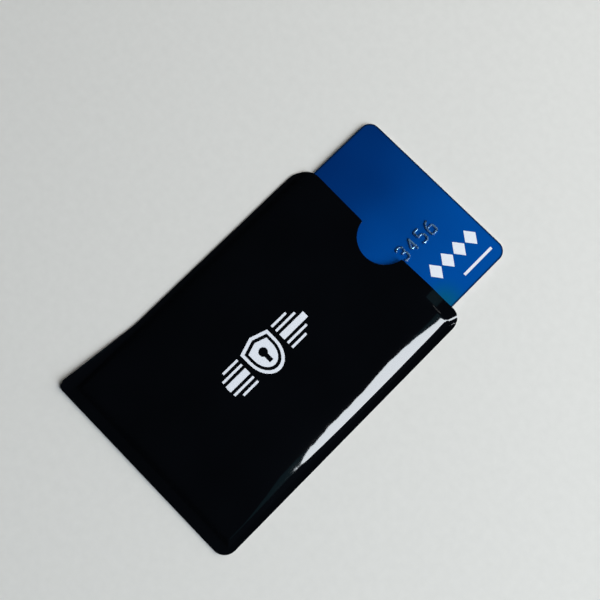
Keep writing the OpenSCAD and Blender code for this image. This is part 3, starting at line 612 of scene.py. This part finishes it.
# %% Press tree
SHAPE = ("Crown", "Shoulder Z", "Seam Z")
STEP = 0.01
press = bpy.data.node_groups.new("press_sheet", "GeometryNodeTree")
press.interface.new_socket("Slab", in_out="INPUT", socket_type="NodeSocketGeometry")
for key in ("Distance", "Thickness", *SHAPE):
    press.interface.new_socket(key, in_out="INPUT", socket_type="NodeSocketFloat")
press.interface.new_socket("Finish", in_out="INPUT", socket_type="NodeSocketMaterial")
press.interface.new_socket("Sheet", in_out="OUTPUT", socket_type="NodeSocketGeometry")
given = node(press, "NodeGroupInput", out=None).outputs
parts = node(press, "ShaderNodeSeparateXYZ", node(press, "GeometryNodeInputPosition"), out=None).outputs
flat_x, flat_y, level = (Number(press, parts[i]) for i in range(3))
flat_x, flat_y = flat_x * PER_METRE, flat_y * PER_METRE
here, ahead, behind, right_of, left_of = (
    Number(press, node(press, "GeometryNodeGroup", node_tree=rule, named={
        "X": px, "Y": py, **{key: given[key] for key in SHAPE}}))
    for px, py in ((flat_x, flat_y), (flat_x, flat_y + STEP), (flat_x, flat_y - STEP),
                   (flat_x + STEP, flat_y), (flat_x - STEP, flat_y)))
after, before = (
    node(press, "ShaderNodeVectorMath", node(
        press, "ShaderNodeCombineXYZ", slope_x / STEP, slope_y / STEP, 1.0), operation="NORMALIZE")
    for slope_x, slope_y in ((here - right_of, here - ahead), (left_of - here, behind - here)))
between = node(press, "ShaderNodeVectorMath", after, before, operation="ADD")
agreed = Number(press, node(
    press, "ShaderNodeVectorMath", after, before, out="Value", operation="DOT_PRODUCT"))
push = (Number(press, given["Distance"]) + Number(press, given["Thickness"]) * level) / (agreed + 1.0)
moved = node(press, "ShaderNodeVectorMath", between, named={SCALE_BY: push}, operation="SCALE")
ground = node(press, "ShaderNodeCombineXYZ", flat_x, flat_y, here)
pressed = node(press, "ShaderNodeVectorMath", ground, moved, operation="ADD")
metres = node(press, "ShaderNodeVectorMath", pressed, named={SCALE_BY: MM}, operation="SCALE")
placed = node(press, "GeometryNodeSetPosition", named={"Geometry": given["Slab"], "Position": metres})
real = node(press, "GeometryNodeRealizeInstances", placed)
wearing = node(press, "GeometryNodeSetMaterial", named={"Geometry": real, "Material": given["Finish"]})
node(press, "NodeGroupOutput", wearing, out=None)
print("press tree has", len(press.nodes), "nodes")


# %% [markdown]
# A tree is run as a modifier, and its result is kept as a plain mesh. Each piece then says which body
# carries it and which measured nodes it stands for.

# %% Tree runner and ownership
def run_tree(source, tree_used, name, values, crisp):
    """Runs a tree on an object; keeps the result as a plain object with edges over crisp degrees sharp."""
    modifier = source.modifiers.new("tree", "NODES")
    modifier.node_group = tree_used
    for item in tree_used.interface.items_tree:
        if item.in_out == "INPUT" and item.name in values:
            modifier[item.identifier] = values[item.name]
    evaluated = source.evaluated_get(bpy.context.evaluated_depsgraph_get())
    mesh = bpy.data.meshes.new_from_object(evaluated)
    source.modifiers.remove(modifier)
    mesh.polygons.foreach_set("use_smooth", [True] * len(mesh.polygons))
    mesh.set_sharp_from_angle(angle=math.radians(crisp))
    piece = bpy.data.objects.new(name, mesh)
    bpy.context.scene.collection.objects.link(piece)
    return piece


def belongs(piece, body, slot, *nodes):
    """Says what a piece rides on and which nodes it stands for; slot is not used."""
    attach(piece, body)
    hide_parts(*nodes)
    corners = [[round(end(v.co[i] for v in piece.data.vertices) * PER_METRE, 2) for i in range(3)]
               for end in (min, max)]
    print(piece.name, len(piece.data.polygons), "faces, from", corners[0], "to", corners[1], "mm")


# %% [markdown]
# ## The sleeve's panels
# Four layers make each panel. From the card outwards: a liner that seals, the foil that shields,
# black printed paper and the gloss film. All eight come from two slabs and the same tree.

# %% Panels
LAYERS = (
    ("liner", LINER, milky_liner, "heat_seal_liner"),
    ("shield_foil", FOIL, shield_foil, "shield_foil"),
    ("printed_paper", PAPER, black_paper, "black_printed_paper"),
    ("gloss_film", FILM, gloss_film, "black_gloss_film"),
)
SHEET_CRISP = 28
reach = 0.0
for part, thickness, made, slot in LAYERS:
    shape = {key: float(PANEL[key]) for key in SHAPE}
    values = {"Distance": reach, "Thickness": thickness, "Finish": made, **shape}
    sheet = run_tree(front_slab, press, f"front_{part}_sheet", values, SHEET_CRISP)
    belongs(sheet, "sleeve", slot, f"front_{part}")
    reach += thickness
    flat = dict.fromkeys(SHAPE, 0.0)
    values = {"Distance": WALL - reach, "Thickness": thickness, "Finish": made, **flat}
    sheet = run_tree(rear_slab, press, f"rear_{part}_sheet", values, SHEET_CRISP)
    belongs(sheet, "sleeve", slot, f"rear_{part}")
for used_up in (front_slab, rear_slab):
    bpy.data.objects.remove(used_up)


# %% [markdown]
# ## The raised numbers
# Numbers are embossed by pressing the card between a punch and a die, so each stroke is a rounded ridge
# that dies out softly at its ends. A stroke is a line of points on a unit cell; the tree rounds its
# corners, sweeps a bell profile along it, and tapers the profile towards open ends. The same tree with
# a narrower, higher bell gives the silver tipping on the ridges' tops.

# %% Number strokes
LOOP = [(0.15, 0), (0.85, 0), (1, 0.1), (1, 0.45), (0.85, 0.55), (0.15, 0.55), (0, 0.45), (0, 0.1)]
HIGH_LOOP = [(1 - px, 1 - py) for px, py in LOOP]
TALL_LOOP = [(0.15, 0), (0.85, 0), (1, 0.1), (1, 0.9), (0.85, 1), (0.15, 1), (0, 0.9), (0, 0.1)]
LOOPS = {0: [TALL_LOOP], 6: [LOOP], 8: [LOOP, HIGH_LOOP], 9: [HIGH_LOOP]}
LINES = {
    1: [[(0.2, 0.78), (0.55, 1), (0.55, 0)]],
    2: [[(0, 0.8), (0.25, 1), (0.75, 1), (1, 0.84), (1, 0.62), (0.02, 0.2), (0, 0), (1, 0)]],
    3: [[(0, 0.86), (0.25, 1), (0.75, 1), (1, 0.86), (1, 0.62), (0.7, 0.52), (0.3, 0.52)],
        [(0.4, 0.52), (0.7, 0.52), (1, 0.4), (1, 0.14), (0.75, 0), (0.25, 0), (0, 0.14)]],
    4: [[(0.75, 0), (0.75, 1)], [(0.75, 0.96), (0, 0.3), (1, 0.3)]],
    5: [[(0.95, 1), (0.08, 1), (0.08, 0.56), (0.7, 0.56), (1, 0.42), (1, 0.14), (0.75, 0), (0.2, 0),
         (0, 0.1)]],
    6: [[(0.85, 1), (0.3, 0.86), (0, 0.58), (0, 0.41)]],
    7: [[(0, 1), (1, 1), (0.4, 0)]],
    9: [[(0.15, 0), (0.7, 0.14), (1, 0.42), (1, 0.59)]],
}
NUMBER_W, NUMBER_H, PITCH, DATE_SHARE = 2.1, 4.1, 3.63, 0.66
NUMBER_START, NUMBER_RISE, DATE_START, DATE_RISE = 9.55, 20.0, 42.0, 14.8
ROWS = (
    (((1, 2, 3, 4), (5, 6, 7, 8), (9, 0, 1, 2), (3, 4, 5, 6)), NUMBER_START, NUMBER_RISE, 1.0),
    (((1, 2), (3, 4)), DATE_START, DATE_RISE, DATE_SHARE),
)
NUMBER_CORNER, RIDGE_CRISP = 0.35, 80


def number_lines(share):
    """A curve object of every stroke in the row with this share of the full size, in millimetres."""
    data = bpy.data.curves.new("number_lines", "CURVE")
    data.dimensions = "3D"
    for groups, start, rise, row_share in ROWS:
        if row_share != share:
            continue
        for g, group in enumerate(groups):
            for i, value in enumerate(group):
                u = -CARD_L / 2 + start + (g * (len(group) + 1) + i) * PITCH * share
                v = -CARD_W / 2 + rise
                strokes = [(s, False) for s in LINES.get(value, [])]
                strokes += [(s, True) for s in LOOPS.get(value, [])]
                for stroke, closed in strokes:
                    spline = data.splines.new("POLY")
                    spline.points.add(len(stroke) - 1)
                    spline.use_cyclic_u = closed
                    for point, (px, py) in zip(spline.points, stroke):
                        du, dv = (px - 0.5) * NUMBER_W * share, (py - 0.5) * NUMBER_H * share
                        point.co = (-(v + dv), CARD_Y + u + du, 0.0, 1.0)
    lines = bpy.data.objects.new("number_lines", data)
    bpy.context.scene.collection.objects.link(lines)
    return lines


print("strokes", *(sum(len(v) for v in kind.values()) for kind in (LINES, LOOPS)), "open and closed")


# %% [markdown]
# The ridge tree works in millimetres up to its last steps. Its profile is a flat base with a bell over
# it, with heights counted from the card's face. An open stroke tapers over half its width at each end.

# %% Ridge tree
STROKE_STEP, PROFILE_POINTS, CORNER_POINTS = 0.09, 15, 5
BELL_POWER, LEAST_TAPER, NO_END = 0.8, 0.12, 10.0
ridge = bpy.data.node_groups.new("raised_ridge", "GeometryNodeTree")
ridge.interface.new_socket("Lines", in_out="INPUT", socket_type="NodeSocketGeometry")
for key in ("Width", "Relief", "Base", "Corner Radius", "Face"):
    ridge.interface.new_socket(key, in_out="INPUT", socket_type="NodeSocketFloat")
ridge.interface.new_socket("Finish", in_out="INPUT", socket_type="NodeSocketMaterial")
ridge.interface.new_socket("Ridges", in_out="OUTPUT", socket_type="NodeSocketGeometry")
given = node(ridge, "NodeGroupInput", out=None).outputs
rounded = node(ridge, "GeometryNodeFilletCurve", mode="POLY", named={
    "Curve": given["Lines"], "Count": CORNER_POINTS, "Radius": given["Corner Radius"],
    "Limit Radius": True})
even = node(ridge, "GeometryNodeResampleCurve", mode="LENGTH", named={
    "Curve": rounded, "Length": STROKE_STEP})
level_line = node(ridge, "GeometryNodeSetCurveNormal", even, mode="Z_UP")
stick = node(ridge, "GeometryNodeCurvePrimitiveLine", (-1.0, 0.0, 0.0), (1.0, 0.0, 0.0))
stick = node(ridge, "GeometryNodeResampleCurve", mode="COUNT", named={
    "Curve": stick, "Count": PROFILE_POINTS})
t = Number(ridge, node(ridge, "ShaderNodeSeparateXYZ", node(ridge, "GeometryNodeInputPosition")))
width, relief, base, face = (Number(ridge, given[key]) for key in ("Width", "Relief", "Base", "Face"))
bell = (1.0 - t * t).math("MAXIMUM", 0.0) ** BELL_POWER
profile_x = t * width * 0.5
profile_y = bell * (base - relief) - base
bent = node(ridge, "GeometryNodeSetPosition", named={
    "Geometry": stick, "Position": node(ridge, "ShaderNodeCombineXYZ", profile_x, profile_y, 0.0)})
profile = node(ridge, "GeometryNodeSetSplineCyclic", bent, named={"Cyclic": True})
passed = Number(ridge, node(ridge, "GeometryNodeSplineParameter", out="Length"))
whole = Number(ridge, node(ridge, "GeometryNodeSplineLength"))
closed = Number(ridge, node(ridge, "GeometryNodeInputSplineCyclic"))
to_end = passed.math("MINIMUM", whole - passed) / (width * 0.5) + closed * NO_END
short = 1.0 - to_end.clamp()
taper = (1.0 - short * short).math("SQRT").math("MAXIMUM", LEAST_TAPER)
swept = node(ridge, "GeometryNodeCurveToMesh", level_line, profile, named={
    "Scale": taper, "Fill Caps": True})
at = node(ridge, "ShaderNodeSeparateXYZ", node(ridge, "GeometryNodeInputPosition"), out=None).outputs
lifted = node(ridge, "ShaderNodeCombineXYZ", at[0], at[1], Number(ridge, at[2]) + face)
metres = node(ridge, "ShaderNodeVectorMath", lifted, named={SCALE_BY: MM}, operation="SCALE")
placed = node(ridge, "GeometryNodeSetPosition", named={"Geometry": swept, "Position": metres})
real = node(ridge, "GeometryNodeRealizeInstances", placed)
wearing = node(ridge, "GeometryNodeSetMaterial", named={"Geometry": real, "Material": given["Finish"]})
node(ridge, "NodeGroupOutput", wearing, out=None)
print("ridge tree has", len(ridge.nodes), "nodes")


# %% [markdown]
# The card number and the smaller date are two rows, so each is swept with its own width. Both rows join
# into one mesh for the plastic and one for the foil. A ridge starts a little inside the card's face, and
# the foil a little inside the ridge.

# %% Raised numbers and tipping
for name, slot, replaced, made, wide, top, bottom in (
    ("raised_number_ridges", "card_overlay", "raised_numbers", card_face, 0.88, 0.44, -0.03),
    ("number_tipping_foil", "tipping_foil", "number_tipping", worn_tipping, 0.6, 0.46, 0.26),
):
    rows = []
    for share in (1.0, DATE_SHARE):
        lines = number_lines(share)
        rows.append(run_tree(lines, ridge, name, {
            "Width": wide * share, "Relief": top, "Base": bottom, "Corner Radius": NUMBER_CORNER * share,
            "Face": FACE_Z, "Finish": made}, RIDGE_CRISP))
        bpy.data.objects.remove(lines)
    both = bmesh.new()
    for row in rows:
        both.from_mesh(row.data)
    bmesh.ops.recalc_face_normals(both, faces=both.faces)
    both.to_mesh(rows[0].data)
    both.free()
    bpy.data.objects.remove(rows[1])
    belongs(rows[0], "card", slot, replaced)


# %% [markdown]
# ## Table, light and room
# The sleeve lies on a plain pale table. Black gloss film shows only what it mirrors, so one oval soft
# lamp on the right makes the long highlight, and the room overhead stays dark. A faint teal wall near
# the lamp is seen only as a reflection. A low softbox beyond the mouth fills the shadows; it is cross
# polarised, as for photographing gloss, so no surface mirrors it.

# %% Table
TABLE_R, TABLE_Z, TABLE_SIDES = 4.0, -0.0001, 60
table_top = grained("pale_matt_table", "#d9dbd9", ("#d5d7d5", "#dddfdd"), 0.8, 2.5, detail=4.0)
table_top.node_tree.nodes["Principled BSDF"].inputs["Specular IOR Level"].default_value = 0.1
rim = arc(0, 0, TABLE_R, 0, 360 - 360 / TABLE_SIDES, TABLE_SIDES - 1)
mesh = bpy.data.meshes.new("table")
mesh.from_pydata([(x, y, TABLE_Z) for x, y in rim], [], [tuple(range(TABLE_SIDES))])
mesh.materials.append(table_top)
table = bpy.data.objects.new("table", mesh)
bpy.context.scene.collection.objects.link(table)
print("table top at", TABLE_Z * PER_METRE, "mm")


# %% Lamps
def lamp(name, shape, azimuth, elevation, distance, width, length, roll, power, colour):
    """An area lamp that faces the sleeve from a direction given in degrees."""
    data = bpy.data.lights.new(name, "AREA")
    data.shape, data.size, data.size_y = shape, width, length
    data.energy, data.color = power, linear(colour)[:3]
    made = bpy.data.objects.new(name, data)
    bpy.context.scene.collection.objects.link(made)
    a, e = math.radians(azimuth), math.radians(elevation)
    away = Vector((math.cos(e) * math.cos(a), math.cos(e) * math.sin(a), math.sin(e)))
    turn = away.to_track_quat("Z", "Y").to_matrix() @ Matrix.Rotation(math.radians(roll), 3, "Z")
    made.matrix_world = Matrix.Translation(away * distance) @ turn.to_4x4()
    made.visible_camera = False
    return made


key_lamp = lamp(
    "oval_window", "ELLIPSE", azimuth=10.2, elevation=44.7, distance=1.2, width=0.4, length=1.15,
    roll=-7.0, power=13.0, colour="#f3f9ff")
glow_lamp = lamp(
    "teal_wall_glow", "ELLIPSE", azimuth=15.0, elevation=52.0, distance=0.9, width=0.8, length=0.5,
    roll=0.0, power=0.25, colour="#5fa0b0")
glow_lamp.visible_diffuse = False
fill_lamp = lamp(
    "polarised_softbox", "SQUARE", azimuth=62.0, elevation=32.0, distance=1.0, width=1.1, length=1.1,
    roll=0.0, power=10.5, colour="#fff8f0")
fill_lamp.visible_glossy = False
bpy.context.scene.view_settings.view_transform = "Standard"
print([(one.name, round(one.data.energy, 2)) for one in (key_lamp, glow_lamp, fill_lamp)])


# %% [markdown]
# The room is dark above and paler towards the horizon, so low views find something to mirror. The
# camera itself sees the table's own pale tone beyond the table's edge.

# %% Room
HORIZON_BAND, OVERHEAD = 0.1, "#101214"
room = bpy.data.worlds.new("dim_room")
room.use_nodes = True
tree = room.node_tree
toward = node(tree, "ShaderNodeTexCoord")
way_up = Number(tree, node(tree, "ShaderNodeSeparateXYZ", toward, out="Z"))
horizon = 1.0 - (way_up / HORIZON_BAND).smooth()
tone = node(tree, "ShaderNodeMix", out=MIXED, data_type="RGBA", named={
    FACTOR: horizon, TONE_A: linear(OVERHEAD), TONE_B: linear("#6f777a")})
camera_ray = node(tree, "ShaderNodeLightPath", out="Is Camera Ray")
seen = node(tree, "ShaderNodeMix", out=MIXED, data_type="RGBA", named={
    FACTOR: camera_ray, TONE_A: tone, TONE_B: linear("#cfd1d0")})
tree.links.new(seen, tree.nodes["Background"].inputs["Color"])
bpy.context.scene.world = room
print("room overhead", [round(c, 4) for c in linear(OVERHEAD)[:3]])
